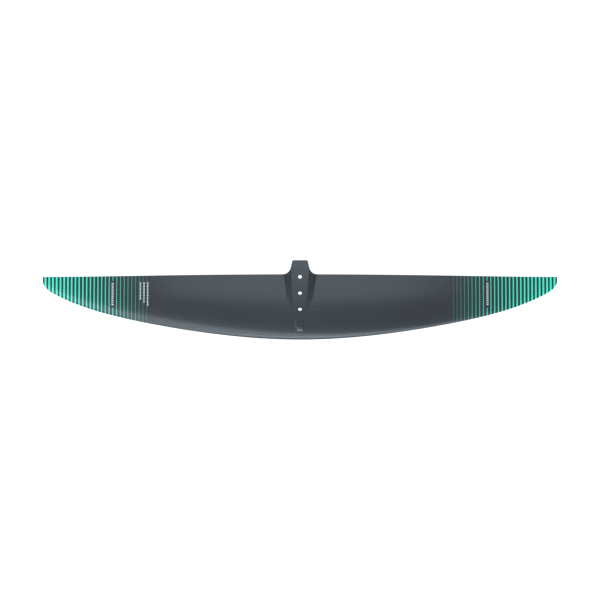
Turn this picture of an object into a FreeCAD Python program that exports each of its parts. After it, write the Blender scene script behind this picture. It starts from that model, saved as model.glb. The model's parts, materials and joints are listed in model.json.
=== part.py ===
import FreeCAD, Part
import math
import os

# High aspect hydrofoil front wing, upper face up.
# X runs along the span, +Y points aft and +Z up.
# The origin is the middle bolt hole, on the flat face that seats the fuselage.

V = FreeCAD.Vector

# ---- driving dimensions, mm ----
SPAN = 1100.0
HALF = SPAN / 2

LE_ROOT_Y = -99.5           # leading edge at the centre line
# how far each edge curves aft, as factors of the 2nd, 4th and 6th powers of the span share
LE_SWEEP = (124.7, -78.9, 72.0)
TE_SWEEP = (-4.2, 0.0, 3.3)
TE_ROOT_Y = 41.8
LE_ROOT_Z = -11.5
TE_ROOT_Z = -9.5
TIP_DROP = 25.0             # anhedral, a parabola along the span
TIP_ROUND_START = 0.965     # share of the half span where the tip rounding starts
TIP_ROUND_DEPTH = 12.0
TIP_ROUND_LIMIT = 0.995     # stops the rounding just before it turns square to the span

ROOT_THICKNESS = 0.122      # shares of the chord
TIP_THICKNESS = 0.100
CAMBER = 0.013
CAMBER_PLACE = 0.4
EDGE_THICKNESS = 1.2        # blunt trailing edge at the root
TIP_EDGE_THICKNESS = 0.4

SKIN = 1.2                  # laminate, thinner where the section is thin
BOND = 0.05                 # glue line round each inner piece
JOINT = 0.15                # gap between neighbours along the chord or span
CAP_SHARE = 0.09            # spar cap, as a share of the local thickness

# chord shares at the joints between the inner pieces
LE_FILLER_END = 0.06
SPAR_START = 0.24
SPAR_END = 0.36
TE_FILLER_START = 0.82
TE_FILLER_END = 0.965
BLOCK_HALF_WIDTH = 24.0
TIP_JOINT_X = 515.0

# saddle and tang
TANG_REAR_Y = 71.0
TANG_BOTTOM_Z = -10.1
TANG_CORNER = 3.0
TANG_REAR_HALF = 17.15
ROOT_FILLET = 16.5          # plan radius between the tang and the trailing edge
ROOT_FILLET_X = 36.2
SIDE_SLANT = 12.5           # degrees, the tang widens towards the wing
TANG_ROOT_Y = 17.5          # aft of this line the tang is solid down to the lower face
TANG_ROOT_HALF = 20.0
SADDLE_HALF_SPAN = 60.0     # more than the widest point of the flares
SADDLE_FRONT_Y = -95.0
PLATEAU = 1.0               # the saddle is made this much too high, then cut flat
NOSE_START_Y = -75.0
NOSE_LENGTH = 14.0
NOSE_DROP = 7.0
FLARE_STRAIGHT = 0.65       # share of the flare's slope that doesn't fade outwards
SHORTEST_FALL = 0.8
FLARE_STEPS = (0.0, 0.15, 0.35, 0.6, 0.85, 1.15, 1.4)
ROOF_STATIONS = (-72, -66, -60, -53, -45, -36, -27, -18, -8, 2, 12, 22, 32, 42, 54, 66, 78)

# half widths of the flat pad and of the flare beside it, as (y, half width)
PAD_HALF = [
    (-89, 3.5), (-75, 6.5), (-67, 8.3), (-53, 11.0), (-33, 13.0),
    (-12, 15.3), (10, 16.5), (37, 17.0), (80, 16.4),
]
FLARE_HALF = [
    (-89, 5.0), (-75, 9.6), (-53, 13.6), (-40, 16.5), (-24, 22.5),
    (-6, 28.9), (8, 31.0), (21, 32.8), (41, 35.5), (80, 38.5),
]

# three M8 countersunk screws come in from below
HOLE_PITCH = 35.0
HOLE_R = 4.25
HEAD_R = 8.3
HEAD_SINK = 2.0             # straight recess below the countersink, deeper than the skin
SCREW_BOTTOM_Z = -40.0
SCREW_TOP_Z = 20.0

# printed films near each tip
STRIPE_COUNT = 28
STRIPE_PITCH = 8.02
STRIPE_OUTER_X = 544.5
STRIPE_OUTER_WIDTH = 4.2
STRIPE_INNER_WIDTH = 0.6
FILM = 0.08
FILM_LIFT = 0.02
BROKEN_STRIPE = 18          # this stripe stops for a column of plain ticks
STRIPE_GAP = (-29.0, 29.0)
# plain marks, as (x, rear y, front y, width, length of one mark, pitch)
TICKS = (400.1, 25.0, -25.0, 4.2, 2.3, 4.2)
DASHES = (
    (340.5, 25.5, -18.5, 1.3, 5.0, 6.6),
    (332.8, 25.5, -23.5, 1.3, 5.0, 6.6),
    (324.9, 25.5, -29.5, 1.3, 5.0, 6.6),
)

SIDES = {"left": -1, "right": 1}


# ---- shape of the wing ----
def share(x):
    """Place along the half span, 0 at the root and 1 at the tip."""
    return abs(x) / HALF


def swept(sweep, e):
    return sum(factor * e ** power for factor, power in zip(sweep, (2, 4, 6)))


def leading_y(x):
    e = share(x)
    t = TIP_ROUND_LIMIT * max(0.0, (e - TIP_ROUND_START) / (1 - TIP_ROUND_START))
    return LE_ROOT_Y + swept(LE_SWEEP, e) + TIP_ROUND_DEPTH * (1 - math.sqrt(1 - t * t))


def trailing_y(x):
    return TE_ROOT_Y + swept(TE_SWEEP, share(x))


def chord(x):
    return trailing_y(x) - leading_y(x)


def thickness_share(x):
    return ROOT_THICKNESS + (TIP_THICKNESS - ROOT_THICKNESS) * share(x)


def half_thickness(x, s):
    form = 0.2969 * math.sqrt(s) - 0.1260 * s - 0.3516 * s ** 2 + 0.2843 * s ** 3 - 0.1036 * s ** 4
    edge = EDGE_THICKNESS + (TIP_EDGE_THICKNESS - EDGE_THICKNESS) * share(x) ** 2
    return 5 * thickness_share(x) * chord(x) * form + s * edge / 2


def camber_height(x, s):
    p = CAMBER_PLACE
    if s < p:
        return CAMBER * chord(x) * (2 * p * s - s * s) / p ** 2
    return CAMBER * chord(x) * (1 - 2 * p + 2 * p * s - s * s) / (1 - p) ** 2


def nose_radius(x):
    return 1.1019 * thickness_share(x) ** 2 * chord(x)


def skin_thickness(x, s):
    room = math.hypot(half_thickness(x, s), 0.9 * nose_radius(x) * (1 - s) ** 8)
    return SKIN * room / (SKIN + room)


def section_point(x, s, side):
    """Point of the outer surface at chord share s, on the upper side (1) or the lower side (-1)."""
    y = leading_y(x) + s * chord(x)
    z = LE_ROOT_Z + (TE_ROOT_Z - LE_ROOT_Z) * s - TIP_DROP * share(x) ** 2
    return V(x, y, z + camber_height(x, s) + side * half_thickness(x, s))


def outward(x, s, side):
    """Unit normal of the section at chord share s, in the plane x = constant."""
    a = math.sqrt(s)
    step = 0.002
    before = section_point(x, max(a - step, 0.0) ** 2, side)
    if a < step:
        before = section_point(x, step ** 2, -side)
    after = section_point(x, min(a + step, 1.0) ** 2, side)
    along = after - before
    return V(0, -along.z, along.y).normalize() * side


def depth_point(x, s, side, depth):
    """Point that lies depth inside the outer surface, or outside it where depth is negative."""
    return section_point(x, s, side) - outward(x, s, side) * depth


def root_z(y, side):
    """Height of the outer surface on the centre line."""
    s = min(max((y - LE_ROOT_Y) / chord(0), 0.0), 1.0)
    return section_point(0, s, side).z


# ---- solids from surfaces ----
def spread(low, high, count):
    return [low + (high - low) * i / (count - 1) for i in range(count)]


def span_stations(low, high, count):
    """Stations along the span, closer together towards the tips."""
    return [HALF * math.sin(a) for a in spread(math.asin(low / HALF), math.asin(high / HALF), count)]


def chord_stations(low, high, count):
    """Chord shares, closer together towards the leading edge."""
    return [a * a for a in spread(math.sqrt(low), math.sqrt(high), count)]


def curve_through(points, places):
    made = Part.BSplineCurve()
    made.interpolate(Points=points, Parameters=places)
    return made


def surface_through(rows, row_places, column_places):
    """Smooth surface through a grid of points, at the parameters given."""
    across = [curve_through(row, column_places) for row in rows]
    poles = zip(*[c.getPoles() for c in across])
    along = [curve_through(list(p), row_places) for p in poles]
    net = [list(p) for p in zip(*[c.getPoles() for c in along])]
    made = Part.BSplineSurface()
    made.buildFromPolesMultsKnots(
        net,
        along[0].getMultiplicities(),
        across[0].getMultiplicities(),
        along[0].getKnots(),
        across[0].getKnots(),
        False,
        False,
        along[0].Degree,
        across[0].Degree,
    )
    return made


def surface(point, xs, shares):
    row_places = [math.asin(x / HALF) for x in xs]
    column_places = [math.sqrt(s) for s in shares]
    return surface_through([[point(x, s) for s in shares] for x in xs], row_places, column_places)


def edges_of(made):
    """The four edges of a surface: its first and last rows, then its first and last columns."""
    u0, u1, v0, v1 = made.bounds()
    return [c.toShape() for c in (made.uIso(u0), made.uIso(u1), made.vIso(v0), made.vIso(v1))]


def closed(faces):
    shell = Part.Shell(faces)
    shell.sewShape()
    solid = Part.Solid(shell)
    if solid.Volume < 0:
        solid.reverse()
    return solid


def between(top, bottom, meets_in_front=False):
    """Solid between two surfaces with the same stations, which may meet in their first column."""
    faces = [top.toShape(), bottom.toShape()]
    for number, (a, b) in enumerate(zip(edges_of(top), edges_of(bottom))):
        if number != 2 or not meets_in_front:
            faces.append(Part.makeRuledSurface(a, b))
    return closed(faces)


def layer(side, xs, shares, top_depth, bottom_depth):
    """Solid between two depths under one side's outer surface."""
    top = surface(lambda x, s: depth_point(x, s, side, top_depth(x, s)), xs, shares)
    bottom = surface(lambda x, s: depth_point(x, s, side, bottom_depth(x, s)), xs, shares)
    return between(top, bottom)


def through_section(xs, shares, depth, meets_in_front=False):
    """Solid from the upper side to the lower side, at a depth inside both."""
    top = surface(lambda x, s: depth_point(x, s, 1, depth(x, s)), xs, shares)
    bottom = surface(lambda x, s: depth_point(x, s, -1, depth(x, s)), xs, shares)
    return between(top, bottom, meets_in_front)


# ---- skins and tips ----
def flush(x, s):
    return 0.0


def skin(side):
    xs = span_stations(-TIP_JOINT_X, TIP_JOINT_X, 41)
    return layer(side, xs, chord_stations(0.0, 1.0, 23), flush, skin_thickness)


def outer_form(low_x, high_x, count):
    return through_section(span_stations(low_x, high_x, count), chord_stations(0.0, 1.0, 23), flush, True)


def tip_block(direction):
    low_x, high_x = sorted((direction * (TIP_JOINT_X + JOINT), direction * HALF))
    return outer_form(low_x, high_x, 15)


# ---- pieces inside ----
def inner_piece(direction, root_x, low_s, high_s, cap_share=0.0):
    """Filling from skin to skin, or from spar cap to spar cap, on one side of the wing."""
    def depth(x, s):
        return skin_thickness(x, s) + BOND + cap_share * 2 * half_thickness(x, s)

    limits = sorted((direction * (root_x + JOINT), direction * (TIP_JOINT_X - JOINT)))
    gap = JOINT / chord(0)
    return through_section(span_stations(*limits, 19), chord_stations(low_s + gap, high_s - gap, 9), depth)


def leading_edge_filler(direction):
    low_x, high_x = sorted((direction * JOINT, direction * (TIP_JOINT_X - JOINT)))
    shares = chord_stations(0.0, LE_FILLER_END, 7)
    xs = span_stations(low_x, high_x, 19)
    return through_section(xs, shares, lambda x, s: skin_thickness(x, s) + BOND, True)


def spar_cap(side):
    def outside(x, s):
        return skin_thickness(x, s) + BOND

    def inside(x, s):
        return skin_thickness(x, s) + CAP_SHARE * 2 * half_thickness(x, s)

    xs = span_stations(-TIP_JOINT_X + JOINT, TIP_JOINT_X - JOINT, 31)
    gap = JOINT / chord(0)
    return layer(side, xs, chord_stations(SPAR_START + gap, SPAR_END - gap, 7), outside, inside)


def mounting_block():
    xs = span_stations(-BLOCK_HALF_WIDTH, BLOCK_HALF_WIDTH, 5)
    gap = JOINT / chord(0)
    shares = chord_stations(SPAR_END + gap, 1.0 - gap, 15)
    return through_section(xs, shares, lambda x, s: skin_thickness(x, s) + BOND)


# ---- saddle and tang ----
def width_at(points, y):
    """Half width at y, on straight lines between (y, half width) points."""
    for (y0, a), (y1, b) in zip(points, points[1:]):
        if y <= y1:
            return a + (b - a) * (y - y0) / (y1 - y0)
    return points[-1][1]


def saddle_row(y, top_z):
    """Points across the saddle at one station, over the left flare, the top and the right flare."""
    pad = width_at(PAD_HALF, y)
    flare = width_at(FLARE_HALF, y)
    fall = max(top_z - (root_z(y, 1) - 0.2), SHORTEST_FALL)
    half = [V(0, y, top_z + PLATEAU)]
    half.append(V(pad * 0.6, y, top_z + PLATEAU))
    half.append(V(pad - 0.8, y, top_z + 0.7 * PLATEAU))
    for t in FLARE_STEPS:
        drop = fall * (FLARE_STRAIGHT * t + (1 - FLARE_STRAIGHT) * (1 - (1 - t) ** 2))
        half.append(V(pad + (flare - pad) * t, y, top_z - drop))
    left = [V(-p.x, p.y, p.z) for p in reversed(half[1:])]
    return left + half


def saddle_roof():
    rows = []
    for a in spread(85.0, 15.0, 6):
        turn = math.radians(a)
        y = NOSE_START_Y - NOSE_LENGTH * math.sin(turn)
        rows.append(saddle_row(y, -NOSE_DROP * (1 - math.cos(turn))))
    rows += [saddle_row(y, 0.0) for y in ROOF_STATIONS]
    middle = rows[len(rows) // 2]
    across = [0.0]
    for a, b in zip(middle, middle[1:]):
        across.append(across[-1] + (b - a).Length)
    return surface_through(rows, [row[0].y for row in rows], across)


def end_face(edge):
    ends = [v.Point for v in edge.Vertexes]
    return Part.Face(Part.Wire([edge, Part.makeLine(*ends)]))


def saddle_form():
    roof = saddle_roof()
    front, rear, left, right = edges_of(roof)
    floor = Part.makeRuledSurface(left, right)
    return closed([roof.toShape(), floor, end_face(front), end_face(rear)])


def arc(centre, radius, start, middle, end):
    at = []
    for degrees in (start, middle, end):
        turn = math.radians(degrees)
        at.append(centre + V(math.cos(turn), math.sin(turn), 0) * radius)
    return Part.Arc(*at).toShape()


def tang_outline():
    """Plan outline of the saddle and tang: it follows the tang's sides and leaves room for the flares."""
    corner = V(TANG_REAR_HALF - TANG_CORNER, TANG_REAR_Y - TANG_CORNER, 0)
    fillet = V(ROOT_FILLET_X, TE_ROOT_Y + ROOT_FILLET, 0)
    rear = arc(corner, TANG_CORNER, 90, 45, 0)
    root = arc(fillet, ROOT_FILLET, 180 + SIDE_SLANT, 225 + SIDE_SLANT / 2, 270)
    side = Part.makeLine(rear.Vertexes[-1].Point, root.Vertexes[0].Point)
    wide = V(SADDLE_HALF_SPAN, TE_ROOT_Y, 0)
    front = V(SADDLE_HALF_SPAN, SADDLE_FRONT_Y, 0)
    half = [rear, side, root, Part.makeLine(root.Vertexes[-1].Point, wide), Part.makeLine(wide, front)]
    other = [e.mirror(V(), V(1, 0, 0)) for e in half]
    joins = []
    for point in (rear.Vertexes[0].Point, front):
        joins.append(Part.makeLine(point, V(-point.x, point.y, 0)))
    return Part.Wire(Part.__sortEdges__(half + other + joins))


def tang_root(gap=0.0):
    """Notch in the trailing edge that the root of the tang fills."""
    half = TANG_ROOT_HALF + gap
    corner = V(-half, TANG_ROOT_Y - gap, -30)
    return Part.makeBox(2 * half, TANG_REAR_Y - TANG_ROOT_Y, 60, corner)


def saddle_and_tang():
    prism = Part.Face(tang_outline()).extrude(V(0, 0, -TANG_BOTTOM_Z))
    prism.translate(V(0, 0, TANG_BOTTOM_Z))
    wing = outer_form(-SADDLE_HALF_SPAN - 20, SADDLE_HALF_SPAN + 20, 9)
    above = saddle_form().common(prism).cut(wing)
    return above.fuse(wing.common(tang_root())).removeSplitter()


# ---- bolt holes ----
def screw_space(y):
    """The space one screw needs: its shank, its countersink and the recess below the head."""
    surface_z = root_z(y, -1)
    cone_z = surface_z + HEAD_SINK
    profile = [
        (0, SCREW_BOTTOM_Z),
        (HEAD_R, SCREW_BOTTOM_Z),
        (HEAD_R, cone_z),
        (HOLE_R, cone_z + HEAD_R - HOLE_R),
        (HOLE_R, SCREW_TOP_Z),
        (0, SCREW_TOP_Z),
        (0, SCREW_BOTTOM_Z),
    ]
    outline = Part.makePolygon([V(r, y, z) for r, z in profile])
    return Part.Face(outline).revolve(V(0, y, 0), V(0, 0, 1), 360)


def drilled(solid):
    """The piece with the bolt holes through it."""
    for number in (-1, 0, 1):
        solid = solid.cut(screw_space(number * HOLE_PITCH))
    return solid


# ---- printed films ----
def film(direction, x, width, rear_y, front_y, count):
    """Thin strip along the chord that follows the upper surface."""
    middle = direction * x
    low_s = max((front_y - leading_y(x)) / chord(x), 0.004)
    high_s = min((rear_y - leading_y(x)) / chord(x), 0.998)
    xs = [middle - width / 2, middle, middle + width / 2]
    shares = chord_stations(low_s, high_s, count)
    return layer(1, xs, shares, lambda x, s: -FILM_LIFT - FILM, lambda x, s: -FILM_LIFT)


def stripes(direction):
    made = []
    for number in range(STRIPE_COUNT):
        x = STRIPE_OUTER_X - number * STRIPE_PITCH
        place = number / (STRIPE_COUNT - 1)
        width = STRIPE_OUTER_WIDTH + (STRIPE_INNER_WIDTH - STRIPE_OUTER_WIDTH) * place
        if number == BROKEN_STRIPE:
            made.append(film(direction, x, width, trailing_y(x), STRIPE_GAP[1], 5))
            made.append(film(direction, x, width, STRIPE_GAP[0], leading_y(x), 9))
        else:
            made.append(film(direction, x, width, trailing_y(x), leading_y(x), 13))
    return Part.makeCompound(made)


def mark_column(direction, x, rear_y, front_y, width, length, pitch):
    made = []
    y = rear_y
    while y - length >= front_y:
        made.append(film(direction, x, width, y, y - length, 4))
        y -= pitch
    return made


def marks(direction):
    made = mark_column(direction, *TICKS)
    if direction == SIDES["left"]:
        for column in DASHES:
            made += mark_column(direction, *column)
    return Part.makeCompound(made)


# ---- the assembly ----
def build():
    nodes = {
        "upper_skin": drilled(skin(1).cut(tang_root(BOND))),
        "lower_skin": drilled(skin(-1).cut(tang_root(BOND))),
        "saddle_and_tang": drilled(saddle_and_tang()),
        "mounting_block": drilled(mounting_block().cut(tang_root(BOND))),
        "upper_spar_cap": spar_cap(1),
        "lower_spar_cap": spar_cap(-1),
    }
    for name, direction in SIDES.items():
        nodes[name + "_tip_block"] = tip_block(direction)
        nodes[name + "_leading_edge_filler"] = leading_edge_filler(direction)
        nodes[name + "_front_core"] = inner_piece(direction, 0.0, LE_FILLER_END, SPAR_START)
        nodes[name + "_spar_web"] = inner_piece(direction, 0.0, SPAR_START, SPAR_END, CAP_SHARE)
        nodes[name + "_rear_core"] = inner_piece(direction, BLOCK_HALF_WIDTH, SPAR_END, TE_FILLER_START)
        rear_filler = inner_piece(direction, BLOCK_HALF_WIDTH, TE_FILLER_START, TE_FILLER_END)
        nodes[name + "_trailing_edge_filler"] = rear_filler
        nodes[name + "_stripes"] = stripes(direction)
        nodes[name + "_marks"] = marks(direction)
    return nodes


os.makedirs("parts", exist_ok=True)
for node, shape in build().items():
    shape.exportStep("parts/" + node + ".step")
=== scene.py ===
import json
import math

import bmesh
import bpy
import numpy as np
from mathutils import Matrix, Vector


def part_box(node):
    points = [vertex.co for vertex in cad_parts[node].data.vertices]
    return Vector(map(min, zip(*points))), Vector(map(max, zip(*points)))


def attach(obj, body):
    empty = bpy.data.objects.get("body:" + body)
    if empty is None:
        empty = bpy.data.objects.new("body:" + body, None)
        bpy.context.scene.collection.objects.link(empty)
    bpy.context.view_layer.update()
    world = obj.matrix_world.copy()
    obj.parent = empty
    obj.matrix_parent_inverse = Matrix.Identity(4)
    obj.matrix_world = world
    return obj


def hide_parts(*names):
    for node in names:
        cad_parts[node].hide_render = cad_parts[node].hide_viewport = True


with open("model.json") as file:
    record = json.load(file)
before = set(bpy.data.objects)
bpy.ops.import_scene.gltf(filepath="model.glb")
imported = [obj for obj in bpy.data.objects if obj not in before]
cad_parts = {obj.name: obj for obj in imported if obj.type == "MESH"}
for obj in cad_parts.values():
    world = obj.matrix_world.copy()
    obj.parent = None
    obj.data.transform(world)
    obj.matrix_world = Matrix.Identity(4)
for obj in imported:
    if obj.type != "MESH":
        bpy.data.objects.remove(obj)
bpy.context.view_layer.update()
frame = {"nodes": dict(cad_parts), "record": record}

# A carbon hydrofoil front wing, in metres: X along the span, +Y aft, +Z out of the upper face.
# The origin is the middle bolt hole, on the flat face that seats the fuselage.
# The skins, the saddle and the printed films are built finely here;
# the pieces inside keep their CAD shapes.

MM = 0.001

# ---- sizes taken from the frame ----
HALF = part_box("right_tip_block")[1].x
LE_ROOT_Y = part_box("upper_skin")[0].y
TE_ROOT_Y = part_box("upper_skin")[1].y
TIP_JOINT_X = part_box("upper_skin")[1].x
TANG_REAR_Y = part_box("saddle_and_tang")[1].y
HOLE_MOUNT = next(m for m in frame["record"]["mounts"] if m["name"] == "bolts")
HOLE_PITCH = HOLE_MOUNT["dims"]["spacing_y_mm"] / 2 * MM
HOLE_R = HOLE_MOUNT["dims"]["hole_r_mm"] * MM

# ---- the wing's own shape, as in the CAD design ----
# factors of the 2nd, 4th and 6th powers of the span share
LE_SWEEP = (124.7 * MM, -78.9 * MM, 72 * MM)
TE_SWEEP = (-4.2 * MM, 0.0, 3.3 * MM)
LE_ROOT_Z = -11.5 * MM
TE_ROOT_Z = -9.5 * MM
TIP_DROP = 25 * MM
TIP_ROUND_START = 0.965
TIP_ROUND_DEPTH = 12 * MM
TIP_ROUND_LIMIT = 0.995
ROOT_THICKNESS = 0.122
TIP_THICKNESS = 0.100
CAMBER = 0.013
CAMBER_PLACE = 0.4
EDGE_THICKNESS = 1.2 * MM
TIP_EDGE_THICKNESS = 0.4 * MM
SKIN = 1.2 * MM

# ---- rounding that the CAD design leaves out ----
TIP_CORNER = 3 * MM            # rear corner of each tip
TOP_ROUND = 2.0 * MM           # upper and lower edges of the tang
BOTTOM_ROUND = 1.0 * MM

# ---- saddle and tang ----
TANG_BOTTOM_Z = -10.1 * MM
TANG_CORNER = 3 * MM
TANG_REAR_HALF = 17.15 * MM
ROOT_FILLET = 16.5 * MM
ROOT_FILLET_X = 36.2 * MM
SIDE_SLANT = math.radians(12.5)
STEP_DEPTH = 0.5 * MM          # small bevel that sets the pad off from the flares
STEP_WIDTH = 1.4 * MM
PAD_EDGE_SOFTNESS = 0.25 * MM
NOSE_START_Y = -69 * MM
NOSE_LENGTH = 18 * MM
NOSE_DROP = 9.1 * MM
FLARE_STRAIGHT = 0.92          # share of the flare's slope that doesn't fade outwards
FLARE_OVERRUN = 0.15           # the flare runs on under the skin by this share of its width
FLARE_EXTRA = 0.5 * MM
FLARE_BURIED = 0.2 * MM
SHORTEST_FALL = 0.8 * MM
PROBE = 0.01 * MM
# half widths, mm: y, half width
PAD_HALF = [
    (-89, 3.5), (-75, 6.5), (-67, 8.3), (-53, 11.0), (-33, 13.0),
    (-12, 15.3), (10, 16.5), (37, 17.0), (80, 17.0),
]
FLARE_HALF = [
    (-89, 5.0), (-75, 9.6), (-53, 13.6), (-40, 16.5), (-24, 22.5),
    (-6, 28.9), (8, 31.0), (21, 32.8), (41, 35.5), (80, 38.5),
]

# ---- screws ----
HEAD_R = 8.3 * MM
HEAD_SINK = 2 * MM
HOLE_CHAMFER = 0.15 * MM
LINING = 0.25 * MM             # thickness of the dull lining, which narrows the CAD's hole
ABOVE_WING = 5 * MM
BELOW_WING = -40 * MM

# ---- printed films ----
STRIPE_COUNT = 28
STRIPE_PITCH = 8.04 * MM
STRIPE_OUTER_X = 544.1 * MM
STRIPE_OUTER_WIDTH = 4.2 * MM
STRIPE_INNER_WIDTH = 0.6 * MM
FILM = 0.08 * MM
FILM_LIFT = 0.02 * MM
BROKEN_STRIPE = 18
STRIPE_GAP = (-29 * MM, 29 * MM)
# plain marks, mm: x, rear y, front y, width, length of one mark, pitch
TICKS = (400.1, 25.0, -25.0, 4.2, 2.3, 4.2)
DASHES = (
    (340.5, 25.5, -18.5, 2.2, 5.0, 6.6),
    (332.8, 25.5, -23.5, 2.2, 5.0, 6.6),
    (324.9, 25.5, -29.5, 2.2, 5.0, 6.6),
)

# ---- how finely the pieces are divided ----
PANEL_COUNT = 5
STATION_SPACING = 3 * MM
CHORD_STEPS = 84
TIP_STATIONS = 44

SIDES = {"left": -1, "right": 1}


# ---------------------------------------------------------------- shape
def share(x):
    return np.abs(x) / HALF


def swept(sweep, e):
    return sum(factor * e ** power for factor, power in zip(sweep, (2, 4, 6)))


def quarter_round(t):
    """Drop of a quarter circle as t goes from 0 to 1, stopped just before it turns square."""
    return 1 - np.sqrt(1 - (TIP_ROUND_LIMIT * np.clip(t, 0, 1)) ** 2)


def leading_y(x):
    e = share(x)
    into_tip = (e - TIP_ROUND_START) / (1 - TIP_ROUND_START)
    return LE_ROOT_Y + swept(LE_SWEEP, e) + TIP_ROUND_DEPTH * quarter_round(into_tip)


def trailing_y(x):
    into_corner = 1 - (HALF - np.abs(x)) / TIP_CORNER
    return TE_ROOT_Y + swept(TE_SWEEP, share(x)) - TIP_CORNER * quarter_round(into_corner)


def chord(x):
    return trailing_y(x) - leading_y(x)


def thickness_share(x):
    return ROOT_THICKNESS + (TIP_THICKNESS - ROOT_THICKNESS) * share(x)


def half_thickness(x, s):
    form = 0.2969 * np.sqrt(s) - 0.1260 * s - 0.3516 * s ** 2 + 0.2843 * s ** 3 - 0.1036 * s ** 4
    edge = EDGE_THICKNESS + (TIP_EDGE_THICKNESS - EDGE_THICKNESS) * share(x) ** 2
    return 5 * thickness_share(x) * chord(x) * form + s * edge / 2


def camber_height(x, s):
    p = CAMBER_PLACE
    front = (2 * p * s - s ** 2) / p ** 2
    rear = (1 - 2 * p + 2 * p * s - s ** 2) / (1 - p) ** 2
    return CAMBER * chord(x) * np.where(s < p, front, rear)


def skin_thickness(x, s):
    nose_radius = 1.1019 * thickness_share(x) ** 2 * chord(x)
    room = np.hypot(half_thickness(x, s), 0.9 * nose_radius * (1 - s) ** 8)
    return SKIN * room / (SKIN + room)


def section_points(x, s, side):
    """Points of the outer surface at chord shares s, on the upper side (1) or the lower side (-1)."""
    y = leading_y(x) + s * chord(x)
    z = LE_ROOT_Z + (TE_ROOT_Z - LE_ROOT_Z) * s - TIP_DROP * share(x) ** 2
    z = z + camber_height(x, s) + side * half_thickness(x, s)
    return np.stack(np.broadcast_arrays(x, y, z), axis=-1)


def skin_points(x, s, side, depth):
    """Points at a depth inside the outer surface, along the section's own normal."""
    step = 0.002
    a = np.sqrt(s)
    before = section_points(x, np.maximum(a - step, 0) ** 2, side)
    wrapped = section_points(x, np.full_like(s, step) ** 2, -side)
    before = np.where((a < step)[..., None], wrapped, before)
    along = section_points(x, np.minimum(a + step, 1) ** 2, side) - before
    outward = np.stack([np.zeros_like(along[..., 0]), -along[..., 2], along[..., 1]], axis=-1) * side
    outward /= np.linalg.norm(outward, axis=-1, keepdims=True)
    return section_points(x, s, side) - outward * np.asarray(depth)[..., None]


def root_z(y, side):
    s = np.clip((y - LE_ROOT_Y) / chord(0.0), 0, 1)
    return section_points(np.zeros_like(s), s, side)[..., 2]


def grid(xs, shares):
    return np.meshgrid(np.asarray(xs), np.asarray(shares), indexing="ij")


# ---------------------------------------------------------------- mesh helpers
def new_object(name, verts, faces):
    mesh = bpy.data.meshes.new(name)
    mesh.from_pydata([tuple(v) for v in verts], [], faces)
    made = bpy.data.objects.new(name, mesh)
    bpy.context.scene.collection.objects.link(made)
    tidy(made)
    return made


def tidy(made, sharp_degrees=32):
    """Merges coincident points, points the faces outward, and shades smooth apart from real edges."""
    work = bmesh.new()
    work.from_mesh(made.data)
    bmesh.ops.remove_doubles(work, verts=work.verts, dist=1e-7)
    bmesh.ops.recalc_face_normals(work, faces=work.faces)
    work.to_mesh(made.data)
    work.free()
    made.data.polygons.foreach_set("use_smooth", [True] * len(made.data.polygons))
    made.data.set_sharp_from_angle(angle=math.radians(sharp_degrees))


def slab(top, bottom, start=0):
    """Vertices and faces of a closed slab between two point grids of the same shape."""
    rows, columns = top.shape[:2]
    verts = np.concatenate([top.reshape(-1, 3), bottom.reshape(-1, 3)])
    lower = rows * columns

    def at(i, j, level=0):
        return start + level * lower + i * columns + j

    faces = []
    for i in range(rows - 1):
        for j in range(columns - 1):
            faces.append((at(i, j), at(i + 1, j), at(i + 1, j + 1), at(i, j + 1)))
            faces.append((at(i, j, 1), at(i, j + 1, 1), at(i + 1, j + 1, 1), at(i + 1, j, 1)))
    for i in range(rows - 1):
        for j in (0, columns - 1):
            faces.append((at(i, j), at(i, j, 1), at(i + 1, j, 1), at(i + 1, j)))
    for j in range(columns - 1):
        for i in (0, rows - 1):
            faces.append((at(i, j), at(i, j + 1), at(i, j + 1, 1), at(i, j, 1)))
    return verts, faces


def joined(slabs):
    """One list of vertices and faces from several slabs."""
    verts, faces = [], []
    for top, bottom in slabs:
        more, its_faces = slab(top, bottom, len(verts))
        verts.extend(more)
        faces.extend(its_faces)
    return verts, faces


def lathe(name, y, profile, segments=72):
    """Solid turned round a vertical axis at y, from (radius, z) points that start and end on the axis."""
    verts, faces = [], []
    rings = profile[1:-1]
    for r, z in rings:
        for k in range(segments):
            a = 2 * math.pi * k / segments
            verts.append((r * math.cos(a), y + r * math.sin(a), z))
    for n in range(len(rings) - 1):
        for k in range(segments):
            m = (k + 1) % segments
            ring, next_ring = n * segments, (n + 1) * segments
            faces.append((ring + k, ring + m, next_ring + m, next_ring + k))
    last = (len(rings) - 1) * segments
    faces.append(tuple(range(segments)))
    faces.append(tuple(last + k for k in range(segments)))
    return new_object(name, verts, faces)


def cut(made, cutters):
    """Cuts the cutters out of a closed mesh."""
    for cutter in cutters:
        step = made.modifiers.new("cut", "BOOLEAN")
        step.operation = "DIFFERENCE"
        step.solver = "EXACT"
        step.object = cutter
    result = bpy.data.meshes.new_from_object(made.evaluated_get(bpy.context.evaluated_depsgraph_get()))
    made.modifiers.clear()
    made.data = result
    tidy(made)


# ---------------------------------------------------------------- skins and tips
def chord_shares(count):
    return np.linspace(0, 1, count) ** 2


def skin_panel(name, low_x, high_x, side):
    xs = np.linspace(low_x, high_x, int((high_x - low_x) / STATION_SPACING) + 1)
    x, s = grid(xs, chord_shares(CHORD_STEPS))
    outer = section_points(x, s, side)
    inner = skin_points(x, s, side, skin_thickness(x, s))
    return new_object(name, *slab(outer, inner))


def skin_panels(side_name, side):
    edges = np.linspace(-TIP_JOINT_X, TIP_JOINT_X, PANEL_COUNT + 1)
    made = []
    for number in range(PANEL_COUNT):
        name = f"{side_name}_skin_panel_{number + 1}"
        made.append(skin_panel(name, edges[number], edges[number + 1], side))
    return made


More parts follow.
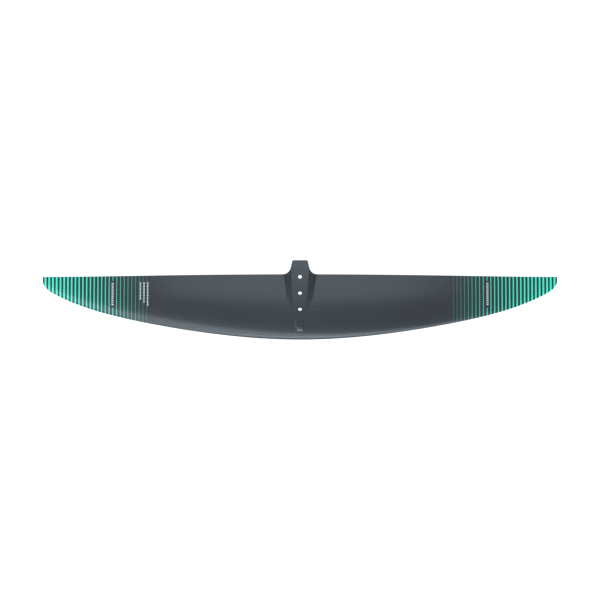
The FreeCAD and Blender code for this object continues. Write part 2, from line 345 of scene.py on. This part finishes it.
def tip_piece(name, direction):
    """The solid tip, with its stations closer together where the outline turns."""
    angles = np.linspace(math.asin(TIP_JOINT_X / HALF), math.pi / 2, TIP_STATIONS)
    xs = direction * HALF * np.sin(angles)
    x, s = grid(xs, chord_shares(CHORD_STEPS))
    return new_object(name, *slab(section_points(x, s, 1), section_points(x, s, -1)))


# ---------------------------------------------------------------- saddle and tang
def smooth_through(points, y):
    """Value at y, in metres, on a smooth curve through (y, value) points given in mm."""
    at = np.array([p[0] for p in points]) * MM
    value = np.array([p[1] for p in points]) * MM
    slopes = np.gradient(value, at)
    y = np.clip(y, at[0], at[-1])
    k = int(np.clip(np.searchsorted(at, y) - 1, 0, len(at) - 2))
    width = at[k + 1] - at[k]
    t = (y - at[k]) / width
    start = (1 + 2 * t) * (1 - t) ** 2 * value[k] + t * (1 - t) ** 2 * width * slopes[k]
    end = t ** 2 * (3 - 2 * t) * value[k + 1] + t ** 2 * (t - 1) * width * slopes[k + 1]
    return start + end


def soft_above_zero(value, softness):
    """The value where it is well above zero, bending softly to zero below."""
    return 0.5 * (value + np.sqrt(value ** 2 + softness ** 2))


def plan_half(y):
    """Half width of the tang's outline behind the trailing edge."""
    corner_y = TANG_REAR_Y - TANG_CORNER
    arc_end_y = TE_ROOT_Y + ROOT_FILLET * (1 - math.sin(SIDE_SLANT))
    arc_end_x = ROOT_FILLET_X - ROOT_FILLET * math.cos(SIDE_SLANT)
    if y > corner_y:
        return TANG_REAR_HALF - TANG_CORNER + math.sqrt(max(TANG_CORNER ** 2 - (y - corner_y) ** 2, 0))
    if y > arc_end_y:
        along = (corner_y - y) / (corner_y - arc_end_y)
        return TANG_REAR_HALF + (arc_end_x - TANG_REAR_HALF) * along
    rise = ROOT_FILLET - (y - TE_ROOT_Y)
    return ROOT_FILLET_X - math.sqrt(max(ROOT_FILLET ** 2 - rise ** 2, 0))


def flare_drop(x, pad, flare, fall):
    """How far the surface lies below the pad at x: a small bevel at the pad's edge, then the flare."""
    step = min(STEP_DEPTH, 0.3 * fall)
    into = np.clip((x - pad) / STEP_WIDTH + 0.15, 0, 1)
    t = (x - pad) / (flare - pad)
    slope = (fall - step) * (FLARE_STRAIGHT * t + (1 - FLARE_STRAIGHT) * (1 - (1 - t) ** 2))
    flare_fall = np.where(x > pad - 2 * MM, soft_above_zero(slope, PAD_EDGE_SOFTNESS), 0)
    return step * into ** 2 * (3 - 2 * into) + flare_fall


def rear_inset(y):
    """How much of its rounding the rear edge has taken at y, from 0 to 1."""
    into = min(max(1 - (TANG_REAR_Y - y) / TOP_ROUND, 0.0), 1.0)
    return 1 - math.sqrt(1 - into ** 2)


def saddle_section(y):
    """Half section of the saddle at one station: (x, z) points from top centre to bottom centre."""
    inset = rear_inset(y)
    pad = smooth_through(PAD_HALF, y)
    flare = smooth_through(FLARE_HALF, y)
    nose = min(max((NOSE_START_Y - y) / NOSE_LENGTH, 0.0), 1.0)
    top = -NOSE_DROP * (1 - math.sqrt(1 - nose ** 2)) - inset * TOP_ROUND
    skin_z = float(root_z(np.array(min(y, TE_ROOT_Y)), 1))
    fall = max(top - (skin_z - FLARE_BURIED), SHORTEST_FALL)
    end = flare + FLARE_OVERRUN * (flare - pad) + FLARE_EXTRA
    if y >= TE_ROOT_Y:
        end = plan_half(y)
    ahead = flare_drop(np.array([end - TOP_ROUND, end - TOP_ROUND + PROBE]), pad, flare, fall)
    start = math.atan2(ahead[1] - ahead[0], PROBE)
    round_x = end - TOP_ROUND * (1 - math.sin(start))
    near = min(pad - 2 * MM, round_x - 3 * MM)
    far = min(pad + 2 * MM, round_x - 1 * MM)
    spans = (np.linspace(0, near, 7), np.linspace(near, far, 15)[1:], np.linspace(far, round_x, 20)[1:])
    xs = np.concatenate(spans)
    zs = top - flare_drop(xs, pad, flare, fall)
    points = list(zip(xs, zs))
    bottom = TANG_BOTTOM_Z + inset * BOTTOM_ROUND
    lowest_centre = bottom + BOTTOM_ROUND + 0.3 * MM
    centre_z = max(zs[-1] - TOP_ROUND * math.cos(start), lowest_centre)
    for a in np.linspace(start, math.pi / 2, 8)[1:]:
        points.append((end - TOP_ROUND * (1 - math.sin(a)), centre_z + TOP_ROUND * math.cos(a)))
    for a in np.linspace(math.pi / 2, math.pi, 6):
        x = end - BOTTOM_ROUND * (1 - math.sin(a))
        points.append((x, bottom + BOTTOM_ROUND * (1 + math.cos(a))))
    for x in np.linspace(end - BOTTOM_ROUND, 0, 8)[1:]:
        points.append((x, bottom))
    return points


def saddle_stations():
    """Where the sections stand, closer together round the nose, the root fillet and the rear corner."""
    nose = [NOSE_START_Y - NOSE_LENGTH * math.sin(a) for a in np.linspace(math.pi / 2, 0, 28)]
    straight = list(np.arange(NOSE_START_Y + 1 * MM, TE_ROOT_Y - 0.5 * MM, 1.5 * MM))
    turns = np.linspace(0, math.pi / 2 - SIDE_SLANT, 26)
    fillet = [TE_ROOT_Y + ROOT_FILLET * (1 - math.cos(a)) for a in turns]
    corner_y = TANG_REAR_Y - TANG_CORNER
    side = list(np.linspace(fillet[-1], corner_y, 12)[1:-1])
    corner = [corner_y + TANG_CORNER * math.sin(a) for a in np.linspace(0, math.pi / 2, 20)]
    return nose + straight + fillet + side + corner


def saddle_piece(name):
    """The saddle and tang in one closed mesh, skinned over its sections."""
    sections = []
    for y in saddle_stations():
        half = saddle_section(y)
        left = [(-x, z) for x, z in reversed(half[1:-1])]
        sections.append([(x, y, z) for x, z in half + left])
    around = len(sections[0])
    verts = [p for section in sections for p in section]
    faces = []
    for i in range(len(sections) - 1):
        for j in range(around):
            k = (j + 1) % around
            ring, next_ring = i * around, (i + 1) * around
            faces.append((ring + j, ring + k, next_ring + k, next_ring + j))
    last = (len(sections) - 1) * around
    faces.append(tuple(range(around)))
    faces.append(tuple(last + j for j in range(around)))
    return new_object(name, verts, faces)


def line_holes(made, material):
    """Gives the walls of the screw holes the dark bored-laminate material, which carries painted shade
    for the inside of the holes.
    """
    made.data.materials.append(material)
    for face in made.data.polygons:
        x, y, _ = face.center
        off_axis = min(math.hypot(x, y - number * HOLE_PITCH) for number in (-1, 0, 1))
        if off_axis < HEAD_R + 0.2 * MM and abs(face.normal.z) < 0.9:
            face.material_index = 1


def screw_cutters():
    """The space of each screw: chamfered mouth, shank, countersink and recess.

    It is narrower than in the CAD by the lining, which hides the block's own wall.
    """
    shank = HOLE_R - LINING
    head = HEAD_R - LINING
    made = []
    for number in (-1, 0, 1):
        y = number * HOLE_PITCH
        cone_z = float(root_z(np.array(y), -1)) + HEAD_SINK
        profile = [
            (0, ABOVE_WING),
            (shank + HOLE_CHAMFER + ABOVE_WING, ABOVE_WING),
            (shank, -HOLE_CHAMFER),
            (shank, cone_z + head - shank),
            (head, cone_z),
            (head, BELOW_WING),
            (0, BELOW_WING),
        ]
        made.append(lathe(f"screw_space_{number + 2}", y, profile))
    return made


# ---------------------------------------------------------------- printed films
def film(direction, x, width, rear_y, front_y, along=64, across=4):
    """Top and bottom grids of a thin strip that follows the upper surface."""
    low = max((front_y - leading_y(x)) / chord(x), 0.0008)
    high = min((rear_y - leading_y(x)) / chord(x), 0.998)
    shares = np.linspace(math.sqrt(low), math.sqrt(high), along) ** 2
    xs = np.linspace(-width / 2, width / 2, across) + direction * x
    gx, gs = grid(xs, shares)
    top = skin_points(gx, gs, 1, np.full_like(gs, -FILM_LIFT - FILM))
    bottom = skin_points(gx, gs, 1, np.full_like(gs, -FILM_LIFT))
    return top, bottom


def stripe_films(name, direction):
    """The stripes of one tip, thinner inboard; one of them is broken by the upright row of ticks."""
    made = []
    for number in range(STRIPE_COUNT):
        x = STRIPE_OUTER_X - number * STRIPE_PITCH
        place = number / (STRIPE_COUNT - 1)
        width = STRIPE_OUTER_WIDTH + (STRIPE_INNER_WIDTH - STRIPE_OUTER_WIDTH) * place
        if number == BROKEN_STRIPE:
            made.append(film(direction, x, width, trailing_y(x), STRIPE_GAP[1], 16))
            made.append(film(direction, x, width, STRIPE_GAP[0], leading_y(x), 32))
        else:
            made.append(film(direction, x, width, trailing_y(x), leading_y(x)))
    return new_object(name, *joined(made))


def mark_column(direction, column):
    """A row of plain marks along the chord."""
    x, rear_y, front_y, width, length, pitch = (value * MM for value in column)
    made = []
    y = rear_y
    while y - length >= front_y - 1e-9:
        made.append(film(direction, x, width, y, y - length, 8, 3))
        y -= pitch
    return made


def mark_films(name, direction):
    columns = [TICKS]
    if direction == SIDES["left"]:
        columns += DASHES
    made = [piece for column in columns for piece in mark_column(direction, column)]
    return new_object(name, *joined(made))


# ---------------------------------------------------------------- materials
class Nodes:
    """Short forms for building a material's node tree."""

    def __init__(self, name):
        self.material = bpy.data.materials.new(name)
        self.material.use_nodes = True
        self.tree = self.material.node_tree
        self.shader = self.tree.nodes["Principled BSDF"]
        place = self.tree.nodes.new("ShaderNodeTexCoord")
        self.place = place.outputs["Object"]

    def put(self, kind, **inputs):
        node = self.tree.nodes.new(kind)
        for key, value in inputs.items():
            self.feed(node.inputs[key.replace("_", " ")], value)
        return node

    def feed(self, socket, value):
        if isinstance(value, bpy.types.NodeSocket):
            self.tree.links.new(value, socket)
        else:
            socket.default_value = value

    def math(self, operation, a, b=0.0, c=0.0, clamp=False):
        node = self.tree.nodes.new("ShaderNodeMath")
        node.operation = operation
        node.use_clamp = clamp
        for socket, value in zip(node.inputs, (a, b, c)):
            self.feed(socket, value)
        return node.outputs[0]

    def scaled(self, x, y, z):
        node = self.put("ShaderNodeMapping", Vector=self.place, Scale=(x, y, z))
        return node.outputs["Vector"]

    def axes(self, vector):
        return self.put("ShaderNodeSeparateXYZ", Vector=vector).outputs

    def noise(self, scale, detail=4.0, x=1.0, y=1.0, z=1.0):
        node = self.put("ShaderNodeTexNoise", Vector=self.scaled(x, y, z), Scale=scale, Detail=detail)
        return node.outputs["Fac"]

    def remap(self, value, low, high, to_low, to_high):
        node = self.tree.nodes.new("ShaderNodeMapRange")
        for socket, number in zip(node.inputs, (value, low, high, to_low, to_high)):
            self.feed(socket, number)
        return node.outputs["Result"]

    def mix(self, factor, a, b):
        node = self.tree.nodes.new("ShaderNodeMix")
        node.data_type = "RGBA"
        self.feed(node.inputs["Factor"], factor)
        self.feed(node.inputs["A"], a)
        self.feed(node.inputs["B"], b)
        return node.outputs["Result"]

    def bump(self, height, strength, distance):
        node = self.put("ShaderNodeBump", Strength=strength, Distance=distance, Height=height)
        self.feed(self.shader.inputs["Normal"], node.outputs["Normal"])

    def surface(self, **inputs):
        for key, value in inputs.items():
            self.feed(self.shader.inputs[key.replace("_", " ")], value)
        return self.material


def shade(red, green, blue):
    """Linear colour from a display colour in 0 to 255."""
    def linear(v):
        v /= 255
        return v / 12.92 if v <= 0.04045 else ((v + 0.055) / 1.055) ** 2.4

    return (linear(red), linear(green), linear(blue), 1.0)


TOW = 3 * MM                   # width of one carbon tow in the cloth
TOW_WANDER = 0.35 * MM
CARBON_DARK = shade(20, 21, 21)
CARBON_LIGHT = shade(68, 74, 79)
CARBON_ROUGHNESS = 0.34
CARBON_COAT = 0.55
COAT_ROUGHNESS = 0.16
# painted sheen: the colour the saddle's flat seat is lightened towards
SEAT_PAINTED_SHEEN = shade(94, 100, 104)
# painted shade: how much the saddle's flares are darkened at the rear
FLARE_PAINTED_SHADE = 0.12


def carbon_weave(name, seat=False):
    """Plain-weave carbon cloth under a satin clear coat; for the saddle, a painted sheen lightens the
    flat seat and painted shade darkens the flares, both towards the rear.
    """
    n = Nodes(name)
    x, y, z = n.axes(n.place)
    wobble = n.math("MULTIPLY", n.math("SUBTRACT", n.noise(60.0, 2.0), 0.5), TOW_WANDER)
    across = n.math("SINE", n.math("MULTIPLY", n.math("ADD", x, wobble), math.pi / TOW))
    along = n.math("SINE", n.math("MULTIPLY", n.math("ADD", y, wobble), math.pi / TOW))
    crossing = n.math("MULTIPLY", across, along)
    over = n.math("MULTIPLY_ADD", crossing, 1.5, 0.5, clamp=True)
    warp_fibres = n.noise(1.0, 3.0, 9000.0, 160.0, 160.0)
    weft_fibres = n.noise(1.0, 3.0, 160.0, 9000.0, 160.0)
    warp_shown = n.math("MULTIPLY", warp_fibres, over)
    weft_shown = n.math("MULTIPLY", weft_fibres, n.math("SUBTRACT", 1.0, over))
    fibres = n.math("ADD", warp_shown, weft_shown)
    # painted glare: the weave's contrast is faded towards the root's trailing edge, standing in for the
    # wash of reflected light there; it shows most towards the leading edge and the tips
    out = n.math("ABSOLUTE", x)
    toward_lead = n.remap(y, -4 * MM, -50 * MM, 0.08, 0.95)
    toward_tip = n.remap(out, 80 * MM, 200 * MM, 0.05, 0.35)
    depth = n.math("MAXIMUM", toward_lead, toward_tip)
    if seat:
        flat = n.remap(z, -0.6 * MM, -0.1 * MM, 0.0, 1.0)
        # painted glare on the saddle too: its weave contrast is faded towards the rear
        depth = n.math("MAXIMUM", depth, n.remap(y, 45 * MM, -20 * MM, 0.15, 0.70))
    tone = n.math("MULTIPLY_ADD", n.math("SUBTRACT", over, 0.5), depth, 0.5)
    tone = n.math("MULTIPLY_ADD", n.math("SUBTRACT", fibres, 0.5), 0.35, tone, clamp=True)
    cloud = n.remap(n.noise(9.0, 3.0), 0.3, 0.7, 0.93, 1.07)
    colour = n.mix(tone, CARBON_DARK, CARBON_LIGHT)
    if seat:
        # painted shade: the flares beside the flat seat are darkened towards the rear
        aft = n.remap(y, -50 * MM, 0.0, 0.0, FLARE_PAINTED_SHADE)
        painted_flare_shade = n.math("MULTIPLY", n.math("SUBTRACT", 1.0, flat), aft)
        cloud = n.math("MULTIPLY", cloud, n.math("SUBTRACT", 1.0, painted_flare_shade))
        # painted sheen: the flat seat face is lightened towards the rear
        painted_seat_sheen = n.math("MULTIPLY", flat, n.remap(y, -45 * MM, 60 * MM, 0.0, 0.65))
        colour = n.mix(painted_seat_sheen, colour, SEAT_PAINTED_SHEEN)
    tinted = n.put("ShaderNodeVectorMath", Vector=colour)
    tinted.operation = "SCALE"
    n.feed(tinted.inputs["Scale"], cloud)
    duller = CARBON_ROUGHNESS + 0.04
    rough = n.remap(n.noise(700.0, 4.0), 0.3, 0.7, CARBON_ROUGHNESS - 0.03, duller)
    rough = n.math("MULTIPLY_ADD", over, 0.05, rough)
    bulge = n.math("POWER", n.math("ABSOLUTE", crossing), 0.5)
    height = n.math("MULTIPLY_ADD", fibres, 0.25, bulge)
    n.bump(height, 0.35, 0.00006)
    return n.surface(
        Base_Color=tinted.outputs[0],
        Roughness=rough,
        Specular_IOR_Level=n.math("MULTIPLY_ADD", tone, 0.5, 0.25),
        Coat_Weight=CARBON_COAT,
        Coat_Roughness=COAT_ROUGHNESS,
    )


def printed_film(name, colour, deep, faded, painted_glow):
    """Ink under the clear coat: faintly mottled and scuffed, fading inboard, and given a painted glow
    that brightens it towards the tip.
    """
    n = Nodes(name)
    out = n.math("ABSOLUTE", n.axes(n.place)[0])
    inboard = n.remap(out, 325 * MM, 420 * MM, 1.0, 0.0)
    mottle = n.remap(n.noise(240.0, 4.0), 0.35, 0.7, 0.0, 0.35)
    scuff = n.remap(n.noise(1.0, 2.0, 5200.0, 420.0, 400.0), 0.68, 0.74, 0.0, 0.18)
    tone = n.math("ADD", mottle, scuff, clamp=True)
    rough = n.remap(n.noise(500.0, 3.0), 0.3, 0.7, 0.30, 0.40)
    n.bump(n.noise(900.0, 3.0), 0.12, 0.00002)
    ink = n.mix(tone, colour, deep)
    return n.surface(
        Base_Color=n.mix(inboard, ink, faded),
        Roughness=rough,
        Coat_Weight=0.5,
        Coat_Roughness=COAT_ROUGHNESS,
        # painted glow: the ink emits light towards the tip, though it is no lamp
        Emission_Color=ink,
        Emission_Strength=n.remap(out, 350 * MM, 500 * MM, 0.0, painted_glow),
    )


def closed_cell_foam(name):
    """Cut faces of fine structural foam."""
    n = Nodes(name)
    cells = n.put("ShaderNodeTexVoronoi", Vector=n.place, Scale=1400.0).outputs["Distance"]
    tone = n.math("MULTIPLY_ADD", n.noise(90.0), 0.5, n.math("MULTIPLY", cells, 0.6), clamp=True)
    n.bump(cells, 0.5, 0.0002)
    return n.surface(
        Base_Color=n.mix(tone, shade(226, 214, 178), shade(188, 172, 130)),
        Roughness=n.remap(cells, 0.0, 1.0, 0.75, 0.95),
    )


def cured_tape(name):
    """Unidirectional carbon tape, fibres along the span."""
    n = Nodes(name)
    fibres = n.noise(1.0, 5.0, 60.0, 5200.0, 5200.0)
    tone = n.remap(fibres, 0.35, 0.7, 0.0, 1.0)
    n.bump(fibres, 0.3, 0.00005)
    return n.surface(
        Base_Color=n.mix(tone, shade(26, 27, 29), shade(62, 65, 69)),
        Roughness=n.remap(fibres, 0.3, 0.7, 0.28, 0.5),
        Coat_Weight=0.2,
    )


def sanded_laminate(name, dark, light, ply=0.35 * MM):
    """Machined laminate whose plies show as fine layers through its height."""
    n = Nodes(name)
    z = n.axes(n.place)[2]
    phase = n.math("MULTIPLY", z, 2 * math.pi / ply)
    layers = n.math("SINE", n.math("MULTIPLY_ADD", n.noise(120.0, 2.0), 1.2, phase))
    grain = n.math("MULTIPLY", n.noise(1.0, 4.0, 2600.0, 300.0, 2600.0), 0.9)
    tone = n.math("MULTIPLY_ADD", layers, 0.3, grain, clamp=True)
    n.bump(tone, 0.25, 0.00004)
    return n.surface(Base_Color=n.mix(tone, dark, light), Roughness=n.remap(tone, 0.0, 1.0, 0.42, 0.62))


def filled_resin(name):
    """Epoxy with chopped fibres."""
    n = Nodes(name)
    chips = n.put("ShaderNodeTexVoronoi", Vector=n.scaled(1.0, 1.8, 1.4), Scale=700.0).outputs["Color"]
    grey = n.axes(chips)[0]
    tone = n.math("MULTIPLY_ADD", grey, 0.6, n.math("MULTIPLY", n.noise(260.0), 0.4), clamp=True)
    n.bump(grey, 0.25, 0.00006)
    return n.surface(
        Base_Color=n.mix(tone, shade(58, 62, 63), shade(112, 118, 118)),
        Roughness=n.remap(n.noise(400.0), 0.3, 0.7, 0.35, 0.55),
    )


def dark_bore_with_painted_shade(name):
    """Dull cut fibres on the wall of a drilled hole, with faint turning marks; darker than cut carbon, as
    painted shade for the inside of the hole.
    """
    n = Nodes(name)
    rings = n.noise(1.0, 3.0, 300.0, 300.0, 4200.0)
    n.bump(rings, 0.4, 0.00005)
    return n.surface(
        # partly the dark cut fibres, partly painted shade inside the hole
        Base_Color=n.mix(rings, shade(6, 6, 7), shade(20, 20, 22)),
        Roughness=n.remap(rings, 0.3, 0.7, 0.8, 0.95),
        Specular_IOR_Level=0.08,
    )


def pale_floor(name):
    """Almost even white paint."""
    n = Nodes(name)
    tone = n.remap(n.noise(6.0, 2.0), 0.3, 0.7, 0.0, 1.0)
    return n.surface(Base_Color=n.mix(tone, shade(250, 250, 250), shade(252, 252, 252)), Roughness=0.9)


# ---------------------------------------------------------------- build
def dress(made, material, slot_name, *nodes):
    """Gives a piece its material, hangs it on the root body and hides the CAD nodes it stands for; the
    slot name is not used.
    """
    made.data.materials.clear()
    made.data.materials.append(material)
    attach(made, "root")
    if nodes:
        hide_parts(*nodes)


def paint_node(node, material):
    """Gives a CAD node that stays as it is its material."""
    for place in frame["nodes"][node].material_slots:
        place.link = "OBJECT"
        place.material = material


skin_carbon = carbon_weave("skin_carbon")
saddle_carbon = carbon_weave("saddle_carbon", seat=True)
tip_carbon = carbon_weave("tip_carbon")

bored = dark_bore_with_painted_shade("dark_bore_with_painted_shade")
cutters = screw_cutters()
for side_name, side in (("upper", 1), ("lower", -1)):
    for number, panel in enumerate(skin_panels(side_name, side)):
        dress(panel, skin_carbon, "carbon_skin", side_name + "_skin")
        if number == PANEL_COUNT // 2:
            cut(panel, cutters)
            line_holes(panel, bored)

saddle = saddle_piece("saddle")
dress(saddle, saddle_carbon, "carbon_saddle", "saddle_and_tang")
cut(saddle, cutters)
line_holes(saddle, bored)
for cutter in cutters:
    bpy.data.objects.remove(cutter)

TEAL, DEEP_TEAL, FADED_TEAL = shade(66, 236, 204), shade(48, 214, 182), shade(42, 150, 130)
WHITE_INK, DEEP_WHITE, FADED_WHITE = shade(246, 248, 248), shade(232, 235, 235), shade(240, 242, 242)
# the last figure is the stripes' painted glow; the marks get none
stripe_ink = printed_film("stripe_ink", TEAL, DEEP_TEAL, FADED_TEAL, 0.28)
mark_ink = printed_film("mark_ink", WHITE_INK, DEEP_WHITE, FADED_WHITE, 0.0)
for side_name, direction in SIDES.items():
    tip = tip_piece(side_name + "_tip", direction)
    dress(tip, tip_carbon, "carbon_tip", side_name + "_tip_block")
    stripes = stripe_films(side_name + "_stripe_films", direction)
    dress(stripes, stripe_ink, "stripe_film", side_name + "_stripes")
    marks = mark_films(side_name + "_mark_films", direction)
    dress(marks, mark_ink, "mark_film", side_name + "_marks")

foam = closed_cell_foam("core_foam")
tape = cured_tape("spar_tape")
block = sanded_laminate("block_laminate", shade(18, 18, 20), shade(44, 45, 47))
web = sanded_laminate("web_laminate", shade(38, 40, 42), shade(80, 84, 86), 0.8 * MM)
resin = filled_resin("edge_resin")
paint_node("mounting_block", block)
for name in ("upper_spar_cap", "lower_spar_cap"):
    paint_node(name, tape)
for side_name in SIDES:
    paint_node(side_name + "_spar_web", web)
    for name in ("front_core", "rear_core"):
        paint_node(side_name + "_" + name, foam)
    for name in ("leading_edge_filler", "trailing_edge_filler"):
        paint_node(side_name + "_" + name, resin)

# ---------------------------------------------------------------- floor, light and camera
FLOOR_Z = -1.2
FLOOR_HALF = 9.0
floor = new_object(
    "floor",
    [(-FLOOR_HALF, -FLOOR_HALF, FLOOR_Z), (FLOOR_HALF, -FLOOR_HALF, FLOOR_Z),
     (FLOOR_HALF, FLOOR_HALF, FLOOR_Z), (-FLOOR_HALF, FLOOR_HALF, FLOOR_Z)],
    [(0, 1, 2, 3)],
)
floor.data.materials.append(pale_floor("floor_paint"))

world = bpy.data.worlds.new("studio")
bpy.context.scene.world = world
world.use_nodes = True
sky = world.node_tree.nodes["Background"].inputs
sky["Color"].default_value = (0.93, 0.97, 1.0, 1)
sky["Strength"].default_value = 0.3


def softbox(name, place, target, width, depth, radiance, tint):
    """Area light of the given radiance, facing the target."""
    data = bpy.data.lights.new(name, "AREA")
    data.shape = "RECTANGLE"
    data.size = width
    data.size_y = depth
    data.energy = radiance * math.pi * width * depth
    data.color = tint
    made = bpy.data.objects.new(name, data)
    bpy.context.scene.collection.objects.link(made)
    made.location = place
    made.rotation_euler = (Vector(target) - Vector(place)).to_track_quat("-Z", "Y").to_euler()


def around(degrees, x):
    """A place at the given angle aft of straight up, seen from the origin."""
    turn = math.radians(degrees)
    return (x, LIGHT_DISTANCE * math.sin(turn), LIGHT_DISTANCE * math.cos(turn))


DAYLIGHT = (0.80, 0.92, 1.0)
WHITE = (1.0, 1.0, 1.0)
LIGHT_DISTANCE = 2.0
# name, degrees aft of straight up, x, width, depth, radiance
SOFTBOXES = (
    ("back_softbox", 31, 0.0, 1.1, 0.96, 1.5),
    ("front_fill", -26, -0.6, 2.6, 0.86, 2.5),
    ("front_key", -53, -0.05, 2.2, 0.85, 3.4),
)
for name, degrees, x, width, depth, radiance in SOFTBOXES:
    softbox(name, around(degrees, x), (0, 0, 0), width, depth, radiance, DAYLIGHT)

# one light for the floor on each side, lower than the wing
FLOOR_LIGHT_X = 1.9
FLOOR_LIGHT_Z = -0.3
FLOOR_LIGHT_SIZE = (3.6, 0.5)
FLOOR_RADIANCE = 8.7
for side_name, direction in SIDES.items():
    place = (direction * FLOOR_LIGHT_X, 0, FLOOR_LIGHT_Z)
    target = (0, 0, FLOOR_Z)
    softbox(side_name + "_floor_light", place, target, *FLOOR_LIGHT_SIZE, FLOOR_RADIANCE, WHITE)

ELEVATION = math.radians(80)
DISTANCE = 12.0
LENS = 337.6
SENSOR = 36
AIM = Vector((0.0, -0.0136, -0.012))
camera_data = bpy.data.cameras.new("camera")
camera_data.lens = LENS
camera_data.sensor_width = SENSOR
camera = bpy.data.objects.new("camera", camera_data)
bpy.context.scene.collection.objects.link(camera)
camera.location = AIM + DISTANCE * Vector((0, -math.cos(ELEVATION), math.sin(ELEVATION)))
camera.rotation_euler = (AIM - camera.location).to_track_quat("-Z", "Y").to_euler()
camera_data.clip_end = 100
bpy.context.scene.camera = camera
bpy.context.scene.view_settings.view_transform = "Standard"
